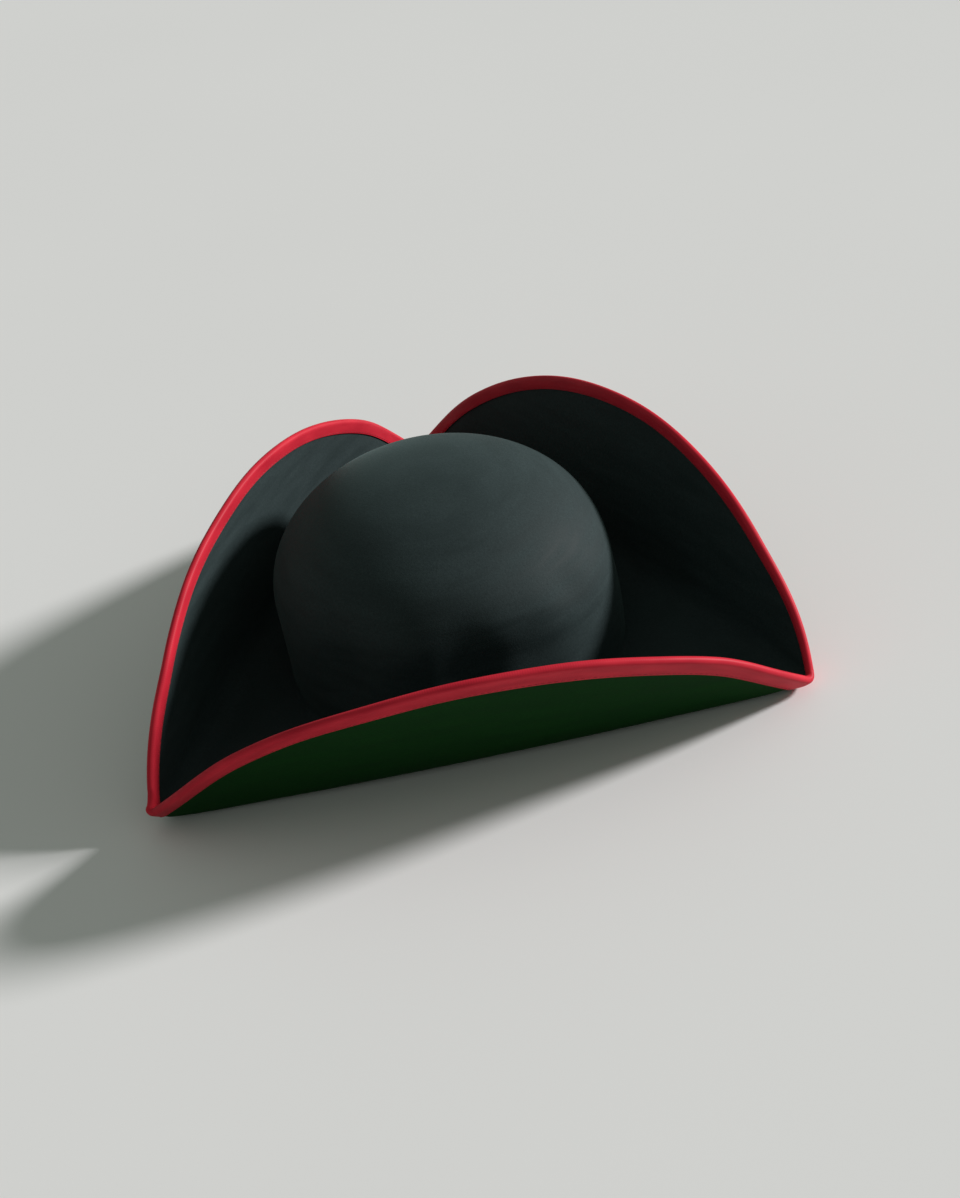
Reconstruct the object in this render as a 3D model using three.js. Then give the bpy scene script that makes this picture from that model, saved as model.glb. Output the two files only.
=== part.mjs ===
import * as THREE from 'three';

// Tricorn hat in millimetres, +Z up. The low front flap faces -Y and one corner points back, to +Y.
// The brim starts as a flat round disc and is cocked up along three fold lines.

// Crown, measured outside the felt
const CROWN_HALF_WIDTH = 88;
const CROWN_HALF_LENGTH = 98;
const CROWN_HEIGHT = 104;
const CROWN_WALL = 49; // height where the upright wall starts to turn in
const CROWN_FELT = 2;

// Brim disc before it is cocked
const BRIM_RADIUS = 197;
const BRIM_CENTRE_Y = -1;
const BRIM_FELT = 2.2;

// Corners, where two fold lines cross
const CORNER_AZIMUTH = -31;
const CORNER_INSET = 1.5; // from the edge of the disc
const BACK_CORNER_INSET = 5;
const CORNER_RISE = 2;
const CORNER_REACH = 45;

// Flaps: how far each one is turned up, in degrees, and how soft its fold is
const FRONT_LEAN = 65;
const RIGHT_LEAN = 76;
const LEFT_LEAN = 92;
const FOLD_RADIUS = 18;
const CORNER_FOLD_RADIUS = 9;
const CORNER_OPENING = 0.82; // share of the lean that is left at the corners
const CORNER_SOFTNESS = 0.28; // share of a flap over which it opens
const RING_MARGIN = 1; // flat felt left between the crown and the nearest fold

// Edge tape, folded over the brim
const TAPE_LEG = 9;
const TAPE_THICKNESS = 1;

// Gap left between pieces that touch
const CLEARANCE = 0.3;

// Soft dents in the crown. Places are an azimuth and a share of the height,
// sizes are shares of the crown's half width.
const DENTS = [
  { azimuth: -125, height: 0.43, spread: 0.26, depth: 0.042 },
  { azimuth: -80, height: 0.5, spread: 0.25, depth: 0.042 },
  { azimuth: -50, height: 0.62, spread: 0.16, depth: 0.015 },
];

// Mesh fineness
const CROWN_COLUMNS = 64;
const WALL_ROWS = 3;
const DOME_ROWS = 8;
const FLAP_COLUMNS = 32;
const CORNER_CROWDING = 0.7; // how much closer columns lie near the corners, from 0 to 1
const RING_ROWS = 2;
const FOLD_ROWS = 4;
const FLAP_ROWS = 3;
const LEAST_ROW = 1.5; // closest spacing of the brim's rows
const TAPE_ROWS = 2;
const BEAD_STEPS = 4;

const radians = THREE.MathUtils.degToRad;
const clamp = THREE.MathUtils.clamp;

// Corners of the fold triangle, going round from the front left one.
const discPoint = (azimuth, inset) => new THREE.Vector2(
  (BRIM_RADIUS - inset) * Math.cos(radians(azimuth)),
  BRIM_CENTRE_Y + (BRIM_RADIUS - inset) * Math.sin(radians(azimuth)),
);
const CORNERS = [
  discPoint(180 - CORNER_AZIMUTH, CORNER_INSET),
  discPoint(CORNER_AZIMUTH, CORNER_INSET),
  discPoint(90, BACK_CORNER_INSET),
];

// One fold line. It bows out in the middle so that the felt under the crown stays flat.
function foldLine(start, end, lean) {
  const middle = start.clone().add(end).multiplyScalar(0.5);
  const along = end.clone().sub(start).normalize();
  const out = new THREE.Vector2(along.y, -along.x);
  const crownReach = Math.hypot(CROWN_HALF_WIDTH * out.x, CROWN_HALF_LENGTH * out.y);
  const setback = FOLD_RADIUS * Math.tan(radians(lean) / 2);
  const bow = Math.max(crownReach + RING_MARGIN - middle.dot(out) + setback, 0);
  return { middle, along, out, bow, half: start.distanceTo(end) / 2, lean: radians(lean) };
}
const FOLDS = [FRONT_LEAN, RIGHT_LEAN, LEFT_LEAN].map(
  (lean, i) => foldLine(CORNERS[i], CORNERS[(i + 1) % CORNERS.length], lean),
);

// How far a point of the flat disc lies past the start of a fold, with the fold's radius and
// angle there. The fold tightens and opens a little towards its two corners.
function foldAt({ middle, along, out, bow, half, lean }, flat) {
  const offset = flat.clone().sub(middle);
  const inner = clamp(1 - (offset.dot(along) / half) ** 2, 0, 1);
  const opened = THREE.MathUtils.smoothstep(inner, 0, CORNER_SOFTNESS);
  const angle = lean * (CORNER_OPENING + (1 - CORNER_OPENING) * opened);
  const radius = CORNER_FOLD_RADIUS + (FOLD_RADIUS - CORNER_FOLD_RADIUS) * inner;
  const past = offset.dot(out) + radius * Math.tan(angle / 2) - bow * inner;
  return { past, radius, angle };
}

// Takes a point of the flat disc to its place in the cocked brim, at the middle of the felt.
function cock(x, y) {
  const flat = new THREE.Vector2(x, y);
  const place = new THREE.Vector3(x, y, BRIM_FELT / 2);
  for (const fold of FOLDS) {
    const { past, radius, angle } = foldAt(fold, flat);
    if (past <= 0) continue;
    const turned = Math.min(past / radius, angle);
    const straight = past - radius * turned;
    const shift = radius * Math.sin(turned) + straight * Math.cos(angle) - past;
    place.x += fold.out.x * shift;
    place.y += fold.out.y * shift;
    place.z += radius * (1 - Math.cos(turned)) + straight * Math.sin(angle);
  }
  for (const corner of CORNERS) {
    place.z += CORNER_RISE * clamp(1 - flat.distanceTo(corner) / CORNER_REACH, 0, 1) ** 2;
  }
  return place;
}

// A point of the cocked brim, lifted off the middle of the felt along its normal.
function cockedPoint(x, y, lift) {
  const step = 0.01;
  const across = cock(x + step, y).sub(cock(x - step, y));
  const deep = cock(x, y + step).sub(cock(x, y - step));
  return cock(x, y).addScaledVector(across.cross(deep).normalize(), lift);
}

// Distance from the crown's axis to the edge of the disc, and to an oval of given half sizes.
const rimReach = (azimuth) => BRIM_CENTRE_Y * Math.sin(azimuth)
  + Math.sqrt(BRIM_RADIUS ** 2 - (BRIM_CENTRE_Y * Math.cos(azimuth)) ** 2);
const ovalReach = (azimuth, halfWidth, halfLength) => halfWidth * halfLength
  / Math.hypot(halfLength * Math.cos(azimuth), halfWidth * Math.sin(azimuth));

// Azimuths of the brim's columns, closer together near the corners.
function brimAzimuths() {
  const azimuths = [];
  CORNERS.forEach((corner, i) => {
    const next = CORNERS[(i + 1) % CORNERS.length];
    const from = Math.atan2(corner.y, corner.x);
    const turn = (Math.atan2(next.y, next.x) - from + 4 * Math.PI) % (2 * Math.PI);
    for (let column = 0; column < FLAP_COLUMNS; column += 1) {
      const share = column / FLAP_COLUMNS;
      const eased = share - CORNER_CROWDING * Math.sin(2 * Math.PI * share) / (2 * Math.PI);
      azimuths.push(from + turn * eased);
    }
  });
  return azimuths;
}

// Closed ring: every column holds the same section, given as insets from the edge and lifts
// off the felt, and the section closes on itself. Each face is split from its shallower to its
// deeper end, so that facing walls of felt and tape stay parallel.
function closedRing(sectionAt) {
  const columns = brimAzimuths().map((azimuth) => {
    const section = sectionAt(azimuth);
    return { section, points: section.map(([inset, lift]) => brimPoint(azimuth, inset, lift)) };
  });
  const size = columns[0].section.length;
  const index = [];
  columns.forEach(({ section }, column) => {
    const next = (column + 1) % columns.length;
    for (let here = 0; here < size; here += 1) {
      const there = (here + 1) % size;
      const [a, b] = [column * size + here, next * size + here];
      const [c, d] = [next * size + there, column * size + there];
      const deeper = section[there][0] > section[here][0];
      index.push(...(deeper ? [a, b, c, a, c, d] : [a, b, d, b, c, d]));
    }
  });
  return meshGeometry(columns.flatMap(({ points }) => points), index);
}

function meshGeometry(points, index) {
  const geometry = new THREE.BufferGeometry().setFromPoints(points);
  geometry.setIndex(index);
  geometry.computeVertexNormals();
  return geometry;
}

// Crown: pushes a point in where a dent lies.
function dented(point) {
  for (const dent of DENTS) {
    const azimuth = radians(dent.azimuth);
    const reach = ovalReach(azimuth, CROWN_HALF_WIDTH, CROWN_HALF_LENGTH);
    const height = dent.height * CROWN_HEIGHT;
    const rise = clamp((height - CROWN_WALL) / (CROWN_HEIGHT - CROWN_WALL), 0, 1);
    const turnIn = Math.sqrt(1 - rise ** 2);
    const inward = new THREE.Vector3(-Math.cos(azimuth), -Math.sin(azimuth), -rise).normalize();
    const out = reach * turnIn;
    const centre = new THREE.Vector3(out * Math.cos(azimuth), out * Math.sin(azimuth), height);
    const far = centre.distanceTo(point) / (dent.spread * CROWN_HALF_WIDTH);
    point.addScaledVector(inward, dent.depth * CROWN_HALF_WIDTH * Math.exp(-(far ** 2)));
  }
  return point;
}

// One wall of the crown, from its foot to just under the top, as rows of points.
function crownRows(inset) {
  const halfWidth = CROWN_HALF_WIDTH - inset;
  const halfLength = CROWN_HALF_LENGTH - inset;
  const rows = [];
  for (let row = 0; row < WALL_ROWS + DOME_ROWS; row += 1) {
    const climb = Math.max(row - WALL_ROWS, 0) / DOME_ROWS * Math.PI / 2;
    const points = [];
    for (let column = 0; column < CROWN_COLUMNS; column += 1) {
      const azimuth = column / CROWN_COLUMNS * 2 * Math.PI;
      const outside = ovalReach(azimuth, CROWN_HALF_WIDTH, CROWN_HALF_LENGTH);
      const edge = cock(outside * Math.cos(azimuth), outside * Math.sin(azimuth));
      const foot = edge.z + BRIM_FELT / 2 + CLEARANCE;
      const wall = foot + (CROWN_WALL - foot) * Math.min(row / WALL_ROWS, 1);
      const reach = ovalReach(azimuth, halfWidth, halfLength) * Math.cos(climb);
      const z = wall + (CROWN_HEIGHT - inset - CROWN_WALL) * Math.sin(climb);
      const point = new THREE.Vector3(reach * Math.cos(azimuth), reach * Math.sin(azimuth), z);
      points.push(row === 0 ? point : dented(point));
    }
    rows.push(points);
  }
  return rows;
}

// The felt bowl: an outer and an inner wall, joined at the foot.
function crownGeometry() {
  const outer = crownRows(0);
  const inner = crownRows(CROWN_FELT);
  const rows = [...outer.reverse(), ...inner];
  const points = rows.flat();
  const index = [];
  for (let row = 0; row < rows.length - 1; row += 1) {
    for (let column = 0; column < CROWN_COLUMNS; column += 1) {
      const next = (column + 1) % CROWN_COLUMNS;
      const [a, b] = [row * CROWN_COLUMNS + column, row * CROWN_COLUMNS + next];
      const [c, d] = [a + CROWN_COLUMNS, b + CROWN_COLUMNS];
      index.push(a, c, d, a, d, b);
    }
  }
  const [outerTop, innerTop] = [points.length, points.length + 1];
  points.push(new THREE.Vector3(0, 0, CROWN_HEIGHT));
  points.push(new THREE.Vector3(0, 0, CROWN_HEIGHT - CROWN_FELT));
  const last = (rows.length - 1) * CROWN_COLUMNS;
  for (let column = 0; column < CROWN_COLUMNS; column += 1) {
    const next = (column + 1) % CROWN_COLUMNS;
    index.push(outerTop, column, next);
    index.push(innerTop, last + next, last + column);
  }
  return meshGeometry(points, index);
}

// Distance from the crown's axis at which the nearest fold has turned by a share of its angle.
function turnReach(azimuth, share, nearest, farthest) {
  let [low, high] = [nearest, farthest];
  for (let halving = 0; halving < 30; halving += 1) {
    const reach = (low + high) / 2;
    const flat = new THREE.Vector2(reach * Math.cos(azimuth), reach * Math.sin(azimuth));
    const turned = Math.max(...FOLDS.map((fold) => {
      const { past, radius, angle } = foldAt(fold, flat);
      return past / (radius * angle);
    }));
    if (turned < share) low = reach;
    else high = reach;
  }
  return low;
}

// Insets from the brim's edge of its rows, from the edge inwards: through the tape, up the flap,
// round the fold and over the flat ring. Rows never lie closer together than a least step.
function brimInsets(azimuth, hole) {
  const rim = rimReach(azimuth);
  const taped = rim - TAPE_LEG;
  const reaches = [hole];
  const spread = (to, rows) => {
    const from = reaches[reaches.length - 1];
    for (let row = 1; row <= rows; row += 1) reaches.push(from + (to - from) * row / rows);
  };
  spread(turnReach(azimuth, 0, hole, taped), RING_ROWS);
  for (let row = 1; row <= FOLD_ROWS; row += 1) {
    reaches.push(turnReach(azimuth, row / FOLD_ROWS, hole, taped));
  }
  spread(taped, FLAP_ROWS);
  const last = reaches.length - 1;
  const spaced = reaches.map((reach, row) => Math.max(
    Math.min(reach, taped - (last - row) * LEAST_ROW),
    hole + row * LEAST_ROW,
  ));
  spaced[last] = taped;
  const tape = Array.from({ length: TAPE_ROWS }, (_, row) => TAPE_LEG * row / TAPE_ROWS);
  return [...tape, ...spaced.reverse().map((reach) => rim - reach)];
}

// The brim's felt, from inside the crown's foot to the edge.
function brimGeometry() {
  return closedRing((azimuth) => {
    const hole = ovalReach(azimuth, CROWN_HALF_WIDTH - CROWN_FELT, CROWN_HALF_LENGTH - CROWN_FELT);
    const insets = brimInsets(azimuth, hole);
    const side = (lift) => insets.map((inset) => [inset, lift]);
    return [...side(BRIM_FELT / 2), ...side(-BRIM_FELT / 2).reverse()];
  });
}

function brimPoint(azimuth, inset, lift) {
  const reach = rimReach(azimuth) - inset;
  return cockedPoint(reach * Math.cos(azimuth), reach * Math.sin(azimuth), lift);
}

// The folded tape: a bead round the felt's edge and a leg down each side of it.
function tapeGeometry() {
  const slot = BRIM_FELT / 2 + CLEARANCE;
  const skin = slot + TAPE_THICKNESS;
  const leg = Array.from({ length: TAPE_ROWS }, (_, row) => TAPE_LEG * (row + 1) / TAPE_ROWS);
  const bead = Array.from({ length: BEAD_STEPS + 1 }, (_, step) => Math.PI * (step / BEAD_STEPS - 0.5));
  const section = [
    ...leg.map((inset) => [inset, -skin]).reverse(),
    ...bead.map((angle) => [-skin * Math.cos(angle), skin * Math.sin(angle)]),
    ...leg.map((inset) => [inset, skin]),
    ...leg.map((inset) => [inset, slot]).reverse(),
    [-CLEARANCE, slot],
    [-CLEARANCE, -slot],
    ...leg.map((inset) => [inset, -slot]),
  ];
  return closedRing(() => section);
}

const blackFelt = new THREE.MeshStandardMaterial({ color: '#15191a', roughness: 0.75, metalness: 0 });
const redSatin = new THREE.MeshStandardMaterial({ color: '#a02c34', roughness: 0.45, metalness: 0 });

const hat = new THREE.Group();

function addPiece(name, geometry, material) {
  const mesh = new THREE.Mesh(geometry, material);
  mesh.name = name;
  hat.add(mesh);
}
addPiece('crown', crownGeometry(), blackFelt);
addPiece('brim', brimGeometry(), blackFelt);
addPiece('binding', tapeGeometry(), redSatin);

// The origin is at the middle of the hat's outline, on the surface that it rests on.
const bounds = new THREE.Box3().setFromObject(hat);
const middle = bounds.getCenter(new THREE.Vector3());
hat.position.set(-middle.x, -middle.y, -bounds.min.z);
hat.updateMatrixWorld(true);

export default hat;
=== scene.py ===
# Tricorn hat: a felt crown on a cocked felt brim, bound along its edge with red satin tape.
# The crown and the brim start flat or round, as on a hatter's bench, and are then shaped.
from math import cos, pi, radians, sin, tan
import bmesh
import bpy
import numpy as np
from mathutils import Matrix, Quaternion, Vector


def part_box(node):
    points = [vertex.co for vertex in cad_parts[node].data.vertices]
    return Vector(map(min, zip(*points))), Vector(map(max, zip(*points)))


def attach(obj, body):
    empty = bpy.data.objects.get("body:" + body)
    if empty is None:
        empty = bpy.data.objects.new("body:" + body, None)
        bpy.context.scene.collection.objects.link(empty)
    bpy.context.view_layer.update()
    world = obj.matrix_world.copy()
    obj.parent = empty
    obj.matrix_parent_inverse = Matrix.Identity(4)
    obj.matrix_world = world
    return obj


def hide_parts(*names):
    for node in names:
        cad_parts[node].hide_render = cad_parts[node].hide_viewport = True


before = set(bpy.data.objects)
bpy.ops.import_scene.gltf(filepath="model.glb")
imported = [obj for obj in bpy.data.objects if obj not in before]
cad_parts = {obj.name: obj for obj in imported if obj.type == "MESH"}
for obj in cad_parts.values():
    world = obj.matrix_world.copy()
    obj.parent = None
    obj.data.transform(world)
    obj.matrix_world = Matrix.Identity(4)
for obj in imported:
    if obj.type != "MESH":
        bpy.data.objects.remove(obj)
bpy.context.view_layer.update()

MM = 0.001
HAIR = 0.01 * MM  # too short to see: for slopes, and for points that count as one

# Camera, fitted to the hat's outline in the photo, in the photo's own pixels
PHOTO_WIDTH, PHOTO_HEIGHT = 960, 1198
CROWN_IN_PHOTO = (439.0, 562.4)  # where the crown's axis shows, at the aimed height
FOCAL_PIXELS = 2101  # focal length
AIM_HEIGHT = 50 * MM
CAMERA_DISTANCE = 1100 * MM
CAMERA_ELEVATION = radians(32.7)
CAMERA_ROLL = radians(11.8)
SENSOR = 36  # millimetres

# Crown, whose outer size comes from the frame
CROWN_WALL = 49 * MM  # height where the upright wall starts to turn in
CROWN_FELT = 2 * MM
CROWN_FILLET = 4 * MM  # soft bend from the wall into the brim
FOOT_SINK = 0.3 * MM  # how far the bend's edge lies under the brim's face
CROWN_COLUMNS = 160
CROWN_RINGS = 72  # of the whole ball, half of which is cut off
WALL_ROWS = 12
FILLET_ROWS = 5

# Brim disc before it is cocked
BRIM_RADIUS = 195.5 * MM
BRIM_SETBACK = 3 * MM  # the disc's middle lies this far in front of the crown's axis
BRIM_FELT = 2.2 * MM
FLAP_COLUMNS = 120
BRIM_ROWS = 58
UNDER_FACE = -0.5  # faces of the flat brim that point further down than this are its under face, which gets black felt with painted green bounce light

# Corners, where two fold lines cross
CORNER_AZIMUTHS = [radians(-148), radians(-31), radians(90)]
CORNER_INSETS = [7 * MM, 1 * MM, 3 * MM]
CORNER_RISE = 2 * MM
CORNER_REACH = 45 * MM
CORNER_CROWDING = 0.7  # how much closer columns lie near the corners, from 0 to 1

# Flaps: how far the front, right and left one are turned up, and how soft the folds are
LEANS = [radians(61.5), radians(76), radians(93)]
FOLD_RADIUS = 18 * MM
CORNER_FOLD_RADIUS = 7 * MM
CORNER_OPENING = 0.92  # share of the lean that is left at a corner
CORNER_SOFTNESS = 0.5  # nearness to a fold's middle, 0 to 1, from which no corner is felt
RING_MARGIN = 1 * MM  # flat felt between the crown's foot and the start of a fold

# Slow waves that the maker's hands leave in the flaps: waves per turn, height and phase
FLAP_WAVES = [
    (5, 0.45 * MM, 0.4),
    (9, 0.30 * MM, 2.1),
    (17, 0.15 * MM, 4.4),
]
WAVES_START = 120 * MM  # from the disc's middle, growing to full height at the rim

# Soft dents in the crown: azimuth in degrees, height as a share of the crown's,
# width, tallness and depth as shares of its half width. A depth below zero is a bulge.
DENTS = [
    {"azimuth": -128, "height": 0.40, "width": 0.25, "tall": 0.34, "depth": 0.095},
    {"azimuth": -88, "height": 0.38, "width": 0.23, "tall": 0.36, "depth": 0.095},
    {"azimuth": -70, "height": 0.38, "width": 0.27, "tall": 0.34, "depth": 0.070},
    {"azimuth": -48, "height": 0.61, "width": 0.13, "tall": 0.13, "depth": 0.018},
    {"azimuth": -24, "height": 0.20, "width": 0.38, "tall": 0.42, "depth": -0.060},
]

# Satin tape folded over the edge
TAPE_LEG = 9 * MM  # as cut, before it is sewn on by eye
TAPE_THICKNESS = 0.5 * MM
BEAD_RADIUS = 2.1 * MM
TAPE_SEAT = 1.75 * MM  # height of the tape's inner edge above the middle of the felt
BEAD_POINTS = 24
LEG_ROWS = 9
TAPE_COLUMNS = 960
STITCH_INSET = 7.8 * MM
STITCH_PITCH = 3.2 * MM
STITCH_LENGTH = 2.4 * MM
STITCH_SIDES = 6
STITCH_RINGS = 5
THREAD = 0.35 * MM  # thickness

# How wide the sewn tape lies on the felt: azimuth in degrees, upper and under face in mm
TAPE_WIDTHS = [
    (-148, 5.0, 5.5),
    (-115, 5.5, 7.5),
    (-75, 5.0, 11.5),
    (-31, 1.0, 8.5),
    (0, 4.0, 10.0),
    (40, 5.2, 10.0),
    (150, 5.5, 9.0),
]

# Edges that bend more than this stay sharp in the shading
SHARP_EDGE = radians(50)

lowest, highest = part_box("crown")
CROWN_AXIS = Vector(((lowest.x + highest.x) / 2, (lowest.y + highest.y) / 2, 0))
CROWN_HALF = (highest - lowest) / 2
CROWN_HEIGHT = highest.z
DISC_MIDDLE = CROWN_AXIS - Vector((0, BRIM_SETBACK, 0))


def add_camera():
    """The photo's own view: a little above the hat, with the picture rolled."""
    camera = bpy.data.objects.new("photo_camera", bpy.data.cameras.new("photo_camera"))
    bpy.context.collection.objects.link(camera)
    back = Vector((0, -cos(CAMERA_ELEVATION), sin(CAMERA_ELEVATION)))
    camera.location = CROWN_AXIS + Vector((0, 0, AIM_HEIGHT)) + back * CAMERA_DISTANCE
    camera.rotation_mode = "QUATERNION"
    roll = Quaternion((0, 0, 1), -CAMERA_ROLL)
    camera.rotation_quaternion = back.to_track_quat("Z", "Y") @ roll
    camera.data.sensor_width = SENSOR
    camera.data.lens = FOCAL_PIXELS / PHOTO_HEIGHT * SENSOR
    camera.data.shift_x = (PHOTO_WIDTH / 2 - CROWN_IN_PHOTO[0]) / PHOTO_HEIGHT
    camera.data.shift_y = (CROWN_IN_PHOTO[1] - PHOTO_HEIGHT / 2) / PHOTO_HEIGHT
    bpy.context.scene.camera = camera


# Cocking the brim

def disc_point(azimuth, inset):
    """A point of the flat disc, inside its edge by the inset."""
    reach = BRIM_RADIUS - inset
    return DISC_MIDDLE + Vector((cos(azimuth), sin(azimuth), 0)) * reach


def fold_line(start, end, lean):
    """One fold line. It bows out in the middle, so that the felt under the crown stays flat."""
    middle = (start + end) / 2
    along = (end - start).normalized()
    out = Vector((along.y, -along.x, 0))
    crown_reach = Vector((CROWN_HALF.x * out.x, CROWN_HALF.y * out.y)).length
    setback = FOLD_RADIUS * tan(lean / 2)
    room = (middle - CROWN_AXIS).dot(out)
    bow = max(crown_reach + RING_MARGIN + setback - room, 0)
    return {"middle": middle, "along": along, "out": out, "bow": bow,
            "half": (end - start).length / 2, "lean": lean}


CORNERS = [disc_point(*place) for place in zip(CORNER_AZIMUTHS, CORNER_INSETS)]
FOLDS = [fold_line(CORNERS[i], CORNERS[(i + 1) % len(LEANS)], lean) for i, lean in enumerate(LEANS)]


def eased(share):
    """Goes smoothly from 0 to 1."""
    share = np.clip(share, 0, 1)
    return share * share * (3 - 2 * share)


def felt_middle(flat):
    """Takes points of the flat disc to their place in the cocked brim's felt."""
    place = np.column_stack([flat, np.full(len(flat), BRIM_FELT / 2)])
    for fold in FOLDS:
        offset = flat - fold["middle"].xy
        inner = np.clip(1 - (offset @ fold["along"].xy / fold["half"]) ** 2, 0, 1)
        opened = CORNER_OPENING + (1 - CORNER_OPENING) * eased(inner / CORNER_SOFTNESS)
        angle = fold["lean"] * opened
        radius = CORNER_FOLD_RADIUS + (FOLD_RADIUS - CORNER_FOLD_RADIUS) * inner
        past = offset @ fold["out"].xy + radius * np.tan(angle / 2) - fold["bow"] * inner
        past = np.maximum(past, 0)
        turned = np.minimum(past / radius, angle)
        straight = past - radius * turned
        shift = radius * np.sin(turned) + straight * np.cos(angle) - past
        place[:, :2] += np.outer(shift, fold["out"].xy)
        place[:, 2] += radius * (1 - np.cos(turned)) + straight * np.sin(angle)
    for corner in CORNERS:
        near = 1 - np.linalg.norm(flat - corner.xy, axis=1) / CORNER_REACH
        place[:, 2] += CORNER_RISE * np.clip(near, 0, 1) ** 2
    return place


def flap_waves(flat):
    """Height of the slow waves in the flaps."""
    offset = flat - DISC_MIDDLE.xy
    azimuth = np.arctan2(offset[:, 1], offset[:, 0])
    reach = np.linalg.norm(offset, axis=1)
    growth = eased((reach - WAVES_START) / (BRIM_RADIUS - WAVES_START))
    return growth * sum(high * np.sin(count * azimuth + phase) for count, high, phase in FLAP_WAVES)


def cocked(points):
    """Cocks points of the flat felt, whose height is how far they lie off its middle."""
    flat, lift = points[:, :2], points[:, 2]
    across = felt_middle(flat + (HAIR, 0)) - felt_middle(flat - (HAIR, 0))
    deep = felt_middle(flat + (0, HAIR)) - felt_middle(flat - (0, HAIR))
    normal = np.cross(across, deep)
    normal /= np.linalg.norm(normal, axis=1)[:, None]
    return felt_middle(flat) + normal * (lift + flap_waves(flat))[:, None]


# Work on a piece

def places(piece):
    """The piece's vertices as an array."""
    co = np.empty(len(piece.data.vertices) * 3, np.float32)
    piece.data.vertices.foreach_get("co", co)
    return co.reshape(-1, 3).astype(float)


def put(piece, co):
    """Moves the piece's vertices to the places in the array."""
    piece.data.vertices.foreach_set("co", co.astype(np.float32).ravel())
    piece.data.update()


def start_piece(name, add_primitive, **settings):
    """Adds a primitive, alone selected, with its place in its mesh."""
    bpy.ops.object.select_all(action="DESELECT")
    add_primitive(**settings)
    piece = bpy.context.object
    piece.name = piece.data.name = name
    bpy.ops.object.transform_apply(location=True, rotation=True, scale=True)
    return piece


def select_where(piece, kind, test):
    """Selects the verts, edges or faces that pass the test, and nothing else."""
    mode = {"verts": "VERT", "edges": "EDGE", "faces": "FACE"}[kind]
    bpy.ops.mesh.select_mode(type=mode)
    bpy.ops.mesh.select_all(action="DESELECT")
    mesh = bmesh.from_edit_mesh(piece.data)
    for element in getattr(mesh, kind):
        element.select_set(bool(test(element)))
    mesh.select_flush_mode()
    bmesh.update_edit_mesh(piece.data)


def apply_modifier(piece, kind, **settings):
    """Adds a modifier with its settings and applies it."""
    modifier = piece.modifiers.new(kind.title(), kind)
    for key, value in settings.items():
        setattr(modifier, key, value)
    bpy.ops.object.modifier_apply(modifier=modifier.name)


def finish_piece(piece, materials, nodes=()):
    """Shades the piece, dresses it and lets it ride on the hat."""
    for material in materials:
        piece.data.materials.append(material)
    bpy.ops.object.shade_smooth_by_angle(angle=SHARP_EDGE)
    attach(piece, "root")
    if nodes:
        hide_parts(*nodes)


# Crown

def press_dents(piece):
    """Pushes the crown in where a dent lies."""
    co = places(piece)
    for dent in DENTS:
        azimuth = radians(dent["azimuth"])
        height = dent["height"] * CROWN_HEIGHT
        rise = max(height - CROWN_WALL, 0) / (CROWN_HEIGHT - CROWN_WALL)
        reach = CROWN_HALF.x * CROWN_HALF.y * (1 - rise ** 2) ** 0.5 / Vector(
            (CROWN_HALF.y * cos(azimuth), CROWN_HALF.x * sin(azimuth))).length
        side = Vector((cos(azimuth), sin(azimuth), 0))
        middle = CROWN_AXIS + side * reach + Vector((0, 0, height))
        inward = -(side + Vector((0, 0, rise))).normalized()
        spread = np.array([dent["width"], dent["width"], dent["tall"]]) * CROWN_HALF.x
        far = np.linalg.norm((co - middle) / spread, axis=1)
        push = dent["depth"] * CROWN_HALF.x * np.exp(-far ** 2)
        co += np.outer(push, inward)
    put(piece, co)


def make_crown(felt):
    """The felt bowl: half a ball drawn out to an oval, with an upright wall down to the brim."""
    piece = start_piece(
        "crown_felt", bpy.ops.mesh.primitive_uv_sphere_add,
        segments=CROWN_COLUMNS, ring_count=CROWN_RINGS, radius=1,
        location=CROWN_AXIS + Vector((0, 0, CROWN_WALL)),
        scale=(CROWN_HALF.x, CROWN_HALF.y, CROWN_HEIGHT - CROWN_WALL),
    )
    bpy.ops.object.mode_set(mode="EDIT")
    select_where(piece, "faces", lambda face: face.calc_center_median().z < CROWN_WALL)
    bpy.ops.mesh.delete(type="FACE")
    select_where(piece, "edges", lambda edge: edge.is_boundary)
    bend_top = BRIM_FELT - FOOT_SINK + CROWN_FILLET
    drop = (CROWN_WALL - bend_top) / WALL_ROWS
    for _ in range(WALL_ROWS):
        bpy.ops.mesh.extrude_edges_move(TRANSFORM_OT_translate={"value": (0, 0, -drop)})
    out = down = 0
    for row in range(1, FILLET_ROWS + 1):
        turn = row / FILLET_ROWS * pi / 2
        new_out, new_down = CROWN_FILLET * (1 - cos(turn)), CROWN_FILLET * sin(turn)
        bpy.ops.mesh.extrude_edges_move(TRANSFORM_OT_translate={"value": (0, 0, down - new_down)})
        grow = [(half + new_out) / (half + out) for half in CROWN_HALF.xy]
        bpy.ops.transform.resize(value=(*grow, 1), center_override=CROWN_AXIS)
        out, down = new_out, new_down
    bpy.ops.object.mode_set(mode="OBJECT")
    press_dents(piece)
    apply_modifier(piece, "SOLIDIFY", thickness=CROWN_FELT, offset=-1, use_even_offset=True)
    finish_piece(piece, [felt], ["crown"])


# Brim

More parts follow.
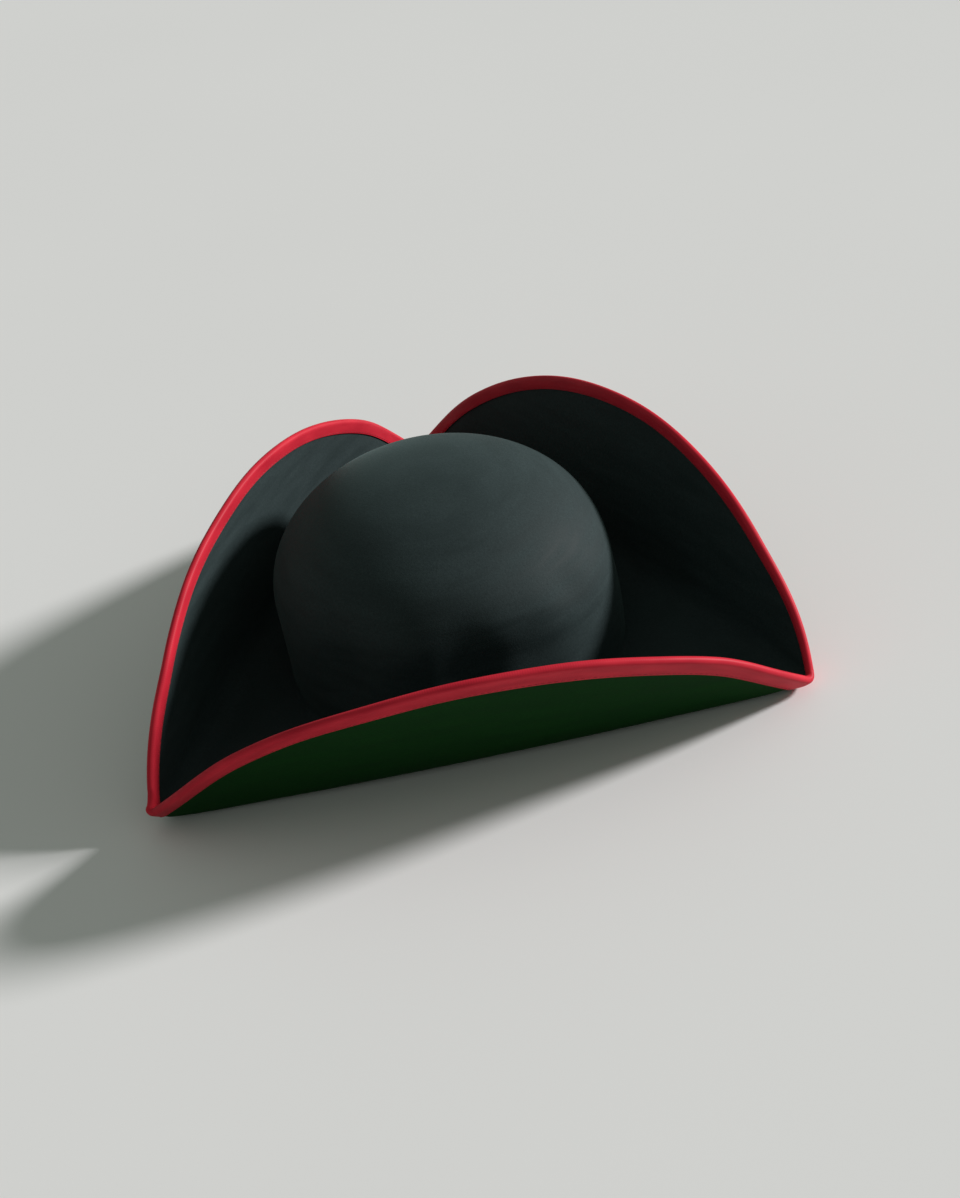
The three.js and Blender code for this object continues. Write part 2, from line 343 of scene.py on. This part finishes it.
def crowd_columns(piece):
    """Slides the columns of a round disc towards its corners, where the folds are tight."""
    co = places(piece)
    offset = co[:, :2] - DISC_MIDDLE.xy
    reach = np.linalg.norm(offset, axis=1)
    turn = np.arctan2(offset[:, 1], offset[:, 0]) % (2 * pi) / (2 * pi) * len(CORNERS)
    flap = np.minimum(turn.astype(int), len(CORNERS) - 1)
    share = turn - flap
    share -= CORNER_CROWDING * np.sin(2 * pi * share) / (2 * pi)
    start = np.array(CORNER_AZIMUTHS)[flap]
    end = np.roll(CORNER_AZIMUTHS, -1)[flap]
    end = np.where(end < start, end + 2 * pi, end)
    azimuth = start + (end - start) * share
    co[:, 0] = DISC_MIDDLE.x + reach * np.cos(azimuth)
    co[:, 1] = DISC_MIDDLE.y + reach * np.sin(azimuth)
    put(piece, co)


def make_brim(felt, painted_bounce_felt):
    """A flat felt disc with the head opening cut out, cocked up along its three folds."""
    piece = start_piece(
        "brim_felt", bpy.ops.mesh.primitive_circle_add,
        vertices=FLAP_COLUMNS * len(CORNERS), radius=BRIM_RADIUS, location=DISC_MIDDLE,
    )
    crowd_columns(piece)
    hole = [half - CROWN_FELT for half in CROWN_HALF.xy]
    bpy.ops.object.mode_set(mode="EDIT")
    bpy.ops.mesh.select_all(action="SELECT")
    bpy.ops.mesh.extrude_edges_move()
    shrink = [half / BRIM_RADIUS for half in hole]
    bpy.ops.transform.resize(value=(*shrink, 1), center_override=DISC_MIDDLE)
    bpy.ops.transform.translate(value=CROWN_AXIS - DISC_MIDDLE)
    least_spoke = (BRIM_RADIUS - CROWN_HALF.y) / 2  # the edges round the ring are far shorter
    select_where(piece, "edges", lambda edge: edge.calc_length() > least_spoke)
    bpy.ops.mesh.subdivide_edgering(number_cuts=BRIM_ROWS, interpolation="LINEAR")
    bpy.ops.object.mode_set(mode="OBJECT")
    apply_modifier(piece, "SOLIDIFY", thickness=BRIM_FELT, offset=0)
    # Faces that point down take the second material: black felt with green light bounced up from
    # below painted into it.
    for face in piece.data.polygons:
        face.material_index = int(face.normal.z < UNDER_FACE)
    put(piece, cocked(places(piece)))
    finish_piece(piece, [felt, painted_bounce_felt], ["brim"])


# Binding

def lay_tape_uv(piece):
    """Gives the flat ring of tape a map in metres, along the edge and across the tape."""
    co = places(piece)
    offset = co[:, :2] - DISC_MIDDLE.xy
    azimuth = np.arctan2(offset[:, 1], offset[:, 0])
    inset = BRIM_RADIUS - np.linalg.norm(offset, axis=1)
    bend = np.arctan2(co[:, 2], np.maximum(-inset, 0)) * BEAD_RADIUS
    across = bend + np.sign(co[:, 2]) * np.maximum(inset, 0)
    loops = np.empty(len(piece.data.loops), np.int32)
    piece.data.loops.foreach_get("vertex_index", loops)
    along = azimuth[loops].reshape(-1, 4)
    seam = np.ptp(along, axis=1) > pi
    along[seam] = np.where(along[seam] < 0, along[seam] + 2 * pi, along[seam])
    uv = np.column_stack([along.ravel() * BRIM_RADIUS, across[loops]])
    piece.data.uv_layers.new(name="tape").data.foreach_set("uv", uv.astype(np.float32).ravel())


def seat_tape(piece):
    """Draws the legs of the tape to their sewn width and presses them down to the felt."""
    co = places(piece)
    offset = co[:, :2] - DISC_MIDDLE.xy
    reach = np.linalg.norm(offset, axis=1)
    share = (BRIM_RADIUS - reach) / TAPE_LEG
    on_leg = share > 0
    turn, upper, under = np.array(TAPE_WIDTHS).T
    azimuth = np.degrees(np.arctan2(offset[:, 1], offset[:, 0]))
    above = co[:, 2] > 0
    width = np.where(above, np.interp(azimuth, turn, upper, period=360),
                     np.interp(azimuth, turn, under, period=360)) * MM
    drawn = np.where(on_leg, (BRIM_RADIUS - share * width) / reach, 1)
    co[:, :2] = offset * drawn[:, None] + DISC_MIDDLE.xy
    side = np.where(above, 1, -1)
    co[:, 2] -= np.where(on_leg, side * (BEAD_RADIUS - TAPE_SEAT) * share ** 2, 0)
    put(piece, co)


def make_binding(satin):
    """Tape folded over the edge: half a ring for the bead, drawn in along both faces."""
    edge = DISC_MIDDLE + Vector((BRIM_RADIUS, 0, 0))
    piece = start_piece(
        "satin_binding", bpy.ops.mesh.primitive_circle_add,
        vertices=BEAD_POINTS, radius=BEAD_RADIUS, location=edge, rotation=(pi / 2, 0, 0),
    )
    bpy.ops.object.mode_set(mode="EDIT")
    select_where(piece, "verts", lambda vert: vert.co.x < edge.x - HAIR)
    bpy.ops.mesh.delete(type="VERT")
    select_where(piece, "verts", lambda vert: len(vert.link_edges) == 1)
    step = (-TAPE_LEG / LEG_ROWS, 0, 0)
    for _ in range(LEG_ROWS):
        bpy.ops.mesh.extrude_vertices_move(TRANSFORM_OT_translate={"value": step})
    bpy.ops.mesh.select_all(action="SELECT")
    bpy.ops.mesh.spin(steps=TAPE_COLUMNS, angle=2 * pi, center=DISC_MIDDLE, axis=(0, 0, 1))
    bpy.ops.mesh.select_all(action="SELECT")
    bpy.ops.mesh.remove_doubles(threshold=HAIR)
    bpy.ops.mesh.normals_make_consistent(inside=False)
    bpy.ops.object.mode_set(mode="OBJECT")
    crowd_columns(piece)
    seat_tape(piece)
    lay_tape_uv(piece)
    apply_modifier(piece, "SOLIDIFY", thickness=TAPE_THICKNESS, offset=-1)
    put(piece, cocked(places(piece)))
    finish_piece(piece, [satin], ["binding"])


def make_stitches(thread):
    """One short stitch on each face of the tape, spun round the whole edge."""
    count = round(2 * pi * (BRIM_RADIUS - STITCH_INSET) / STITCH_PITCH)
    piece = start_piece(
        "binding_stitches", bpy.ops.mesh.primitive_uv_sphere_add,
        segments=STITCH_SIDES, ring_count=STITCH_RINGS, radius=1,
        location=DISC_MIDDLE + Vector((BRIM_RADIUS - STITCH_INSET, 0, BEAD_RADIUS)),
        scale=(THREAD / 2, STITCH_LENGTH / 2, THREAD / 2),
    )
    bpy.ops.object.mode_set(mode="EDIT")
    bpy.ops.mesh.select_all(action="SELECT")
    bpy.ops.mesh.duplicate()
    bpy.ops.transform.translate(value=(0, 0, -2 * BEAD_RADIUS))
    bpy.ops.mesh.select_all(action="SELECT")
    bpy.ops.mesh.spin(steps=count, angle=2 * pi, dupli=True, use_auto_merge=False,
                      center=DISC_MIDDLE, axis=(0, 0, 1))
    bpy.ops.object.mode_set(mode="OBJECT")
    seat_tape(piece)
    put(piece, cocked(places(piece)))
    finish_piece(piece, [thread])


# Materials

# Sockets of the Mix node that hold its two colours and its result
FIRST_COLOUR, SECOND_COLOUR, MIXED = 6, 7, 2

FELT_PATCH = 40 * MM  # length of the level streaks
FELT_STREAK = 7  # how many times longer than tall they are
FELT_FIBRE = 1.1 * MM
TAPE_PATCH = 25 * MM  # length of the patches of tone, along the edge
TAPE_STREAK = 4  # how many times longer than wide they are
TAPE_GRAIN = 1.184 * MM  # real satin's grain is far finer and would not show
THREAD_TWIST = 0.5 * MM
BAND_SPACING = pi / 10  # between the bands of a wave texture at scale 1


def srgb(text):
    """Linear colour of an sRGB hex value such as #a02c34."""
    parts = [int(text[i:i + 2], 16) / 255 for i in (1, 3, 5)]
    linear = [c / 12.92 if c <= 0.04045 else ((c + 0.055) / 1.055) ** 2.4 for c in parts]
    return (*linear, 1)


def add_node(tree, kind, inputs, **settings):
    """Adds a node. An input that is given a socket is linked to it, any other is set."""
    node = tree.nodes.new(kind)
    for key, value in settings.items():
        setattr(node, key, value)
    for key, value in inputs.items():
        if isinstance(value, bpy.types.NodeSocket):
            tree.links.new(value, node.inputs[key])
        else:
            node.inputs[key].default_value = value
    return node


def new_material(name):
    """An empty material, with its tree and its output node."""
    material = bpy.data.materials.new(name)
    material.use_nodes = True
    material.node_tree.nodes.clear()
    output = material.node_tree.nodes.new("ShaderNodeOutputMaterial")
    return material, material.node_tree, output


def wool_felt(name, dark, light, sheen, gloss):
    """Pressed wool felt: short matted fibres with a soft nap, brushed level round the hat.
    The eye sees a dull dark face with faint level streaks and a wide soft sheen."""
    material, tree, output = new_material(name)
    here = add_node(tree, "ShaderNodeTexCoord", {}).outputs["Object"]
    streak = add_node(tree, "ShaderNodeMapping", {"Vector": here, "Scale": (1, 1, FELT_STREAK)})
    streaks = add_node(tree, "ShaderNodeTexNoise", {
        "Vector": streak.outputs["Vector"], "Scale": 1 / FELT_PATCH, "Detail": 5, "Roughness": 0.6})
    fibres = add_node(tree, "ShaderNodeTexNoise", {
        "Vector": here, "Scale": 1 / FELT_FIBRE, "Detail": 3, "Roughness": 0.7, "Distortion": 0.6})
    shade = add_node(tree, "ShaderNodeMath", {
        0: streaks.outputs["Fac"], 1: fibres.outputs["Fac"]}, operation="MULTIPLY")
    spread = add_node(tree, "ShaderNodeMapRange", {
        "Value": shade.outputs[0], "From Min": 0.12, "From Max": 0.4})
    colour = add_node(tree, "ShaderNodeMix", {
        "Factor": spread.outputs["Result"],
        FIRST_COLOUR: srgb(dark), SECOND_COLOUR: srgb(light)}, data_type="RGBA")
    rough = add_node(tree, "ShaderNodeMapRange", {
        "Value": streaks.outputs["Fac"], "From Min": 0.3, "From Max": 0.7,
        "To Min": 0.68, "To Max": 0.82})
    nap = add_node(tree, "ShaderNodeBump", {
        "Height": fibres.outputs["Fac"], "Strength": 0.35, "Distance": 0.25 * MM})
    shader = add_node(tree, "ShaderNodeBsdfPrincipled", {
        "Base Color": colour.outputs[MIXED], "Roughness": rough.outputs["Result"],
        "Normal": nap.outputs["Normal"], "Specular IOR Level": gloss, "Sheen Weight": gloss,
        "Sheen Roughness": 0.45, "Sheen Tint": srgb(sheen)})
    tree.links.new(shader.outputs["BSDF"], output.inputs["Surface"])
    return material


def satin_tape():
    """Woven polyester satin: fine threads across the tape under long smooth floats.
    The eye sees a clear red with a soft glow along the bead and a fine cross grain."""
    material, tree, output = new_material("red_satin_tape")
    place = add_node(tree, "ShaderNodeUVMap", {}, uv_map="tape").outputs["UV"]
    grain = add_node(tree, "ShaderNodeTexWave", {
        "Vector": place, "Scale": BAND_SPACING / TAPE_GRAIN, "Distortion": 1.2, "Detail": 2,
        "Detail Scale": 2}, wave_type="BANDS", bands_direction="X")
    stretch = add_node(tree, "ShaderNodeMapping", {"Vector": place, "Scale": (1, TAPE_STREAK, 1)})
    patches = add_node(tree, "ShaderNodeTexNoise", {
        "Vector": stretch.outputs["Vector"], "Scale": 1 / TAPE_PATCH, "Detail": 4})
    spread = add_node(tree, "ShaderNodeMapRange", {
        "Value": patches.outputs["Fac"], "From Min": 0.3, "From Max": 0.7})
    colour = add_node(tree, "ShaderNodeMix", {
        "Factor": spread.outputs["Result"],
        FIRST_COLOUR: srgb("#b22131"), SECOND_COLOUR: srgb("#ca2c3b")}, data_type="RGBA")
    weave = add_node(tree, "ShaderNodeBump", {
        "Height": grain.outputs["Fac"], "Strength": 0.25, "Distance": 0.1 * MM})
    shader = add_node(tree, "ShaderNodeBsdfPrincipled", {
        "Base Color": colour.outputs[MIXED], "Roughness": 0.45, "Normal": weave.outputs["Normal"],
        "Specular IOR Level": 0.08, "Sheen Weight": 0.06, "Sheen Roughness": 0.3,
        "Sheen Tint": srgb("#f07080")})
    tree.links.new(shader.outputs["BSDF"], output.inputs["Surface"])
    return material


def sewing_thread():
    """Twisted polyester thread: a slightly darker and duller red than the tape."""
    material, tree, output = new_material("red_sewing_thread")
    here = add_node(tree, "ShaderNodeTexCoord", {}).outputs["Object"]
    twist = add_node(tree, "ShaderNodeTexNoise", {"Vector": here, "Scale": 1 / THREAD_TWIST})
    colour = add_node(tree, "ShaderNodeMix", {
        "Factor": twist.outputs["Fac"],
        FIRST_COLOUR: srgb("#7a141d"), SECOND_COLOUR: srgb("#a32833")}, data_type="RGBA")
    shader = add_node(tree, "ShaderNodeBsdfPrincipled", {
        "Base Color": colour.outputs[MIXED], "Roughness": 0.6})
    tree.links.new(shader.outputs["BSDF"], output.inputs["Surface"])
    return material


def studio_floor():
    """Matt pale paper, with a faint unevenness of tone."""
    material, tree, output = new_material("pale_paper_floor")
    here = add_node(tree, "ShaderNodeTexCoord", {}).outputs["Object"]
    tone = add_node(tree, "ShaderNodeTexNoise", {"Vector": here, "Scale": 2})
    colour = add_node(tree, "ShaderNodeMix", {
        "Factor": tone.outputs["Fac"],
        FIRST_COLOUR: srgb("#e8e5e5"), SECOND_COLOUR: srgb("#edeaea")}, data_type="RGBA")
    shader = add_node(tree, "ShaderNodeBsdfPrincipled", {
        "Base Color": colour.outputs[MIXED], "Roughness": 0.9})
    tree.links.new(shader.outputs["BSDF"], output.inputs["Surface"])
    return material


# Studio

KEY_AZIMUTH = radians(10)
KEY_ELEVATION = radians(21)
KEY_STRENGTH = 4.6
KEY_WIDTH = radians(9)  # how wide the light looks from the hat, which softens its shadows
SKY_COLOUR = "#dce8de"
SKY_STRENGTH = 0.32
FLOOR_SIZE = 12


def add_key_light():
    """A far and wide light, low on the right."""
    lamp = bpy.data.objects.new("key_light", bpy.data.lights.new("key_light", "SUN"))
    bpy.context.collection.objects.link(lamp)
    level = Vector((cos(KEY_AZIMUTH), sin(KEY_AZIMUTH), 0))
    aim = level * cos(KEY_ELEVATION) + Vector((0, 0, sin(KEY_ELEVATION)))
    lamp.rotation_mode = "QUATERNION"
    lamp.rotation_quaternion = aim.to_track_quat("Z", "Y")
    lamp.data.energy = KEY_STRENGTH
    lamp.data.angle = KEY_WIDTH


def add_studio():
    """A pale floor, a key light from the right and a soft even sky."""
    floor = start_piece("studio_floor", bpy.ops.mesh.primitive_plane_add, size=FLOOR_SIZE)
    floor.data.materials.append(studio_floor())
    add_key_light()
    world = bpy.data.worlds.new("studio")
    world.use_nodes = True
    background = world.node_tree.nodes["Background"]
    background.inputs["Color"].default_value = srgb(SKY_COLOUR)
    background.inputs["Strength"].default_value = SKY_STRENGTH
    bpy.context.scene.world = world
    bpy.context.scene.view_settings.view_transform = "Standard"


add_camera()
felt = wool_felt(
    "black_wool_felt", dark="#1a2526", light="#2a3536", sheen="#7f9a98", gloss=0.2)
# The under face's green is painted light: green light bounced up from below, painted into the
# colours and the sheen tint of black felt.
painted_bounce_felt = wool_felt(
    "black_felt_painted_green_bounce", dark="#0b2c0f", light="#123714", sheen="#2a5a2a", gloss=0.05)
make_crown(felt)
make_brim(felt, painted_bounce_felt)
make_binding(satin_tape())
make_stitches(sewing_thread())
add_studio()
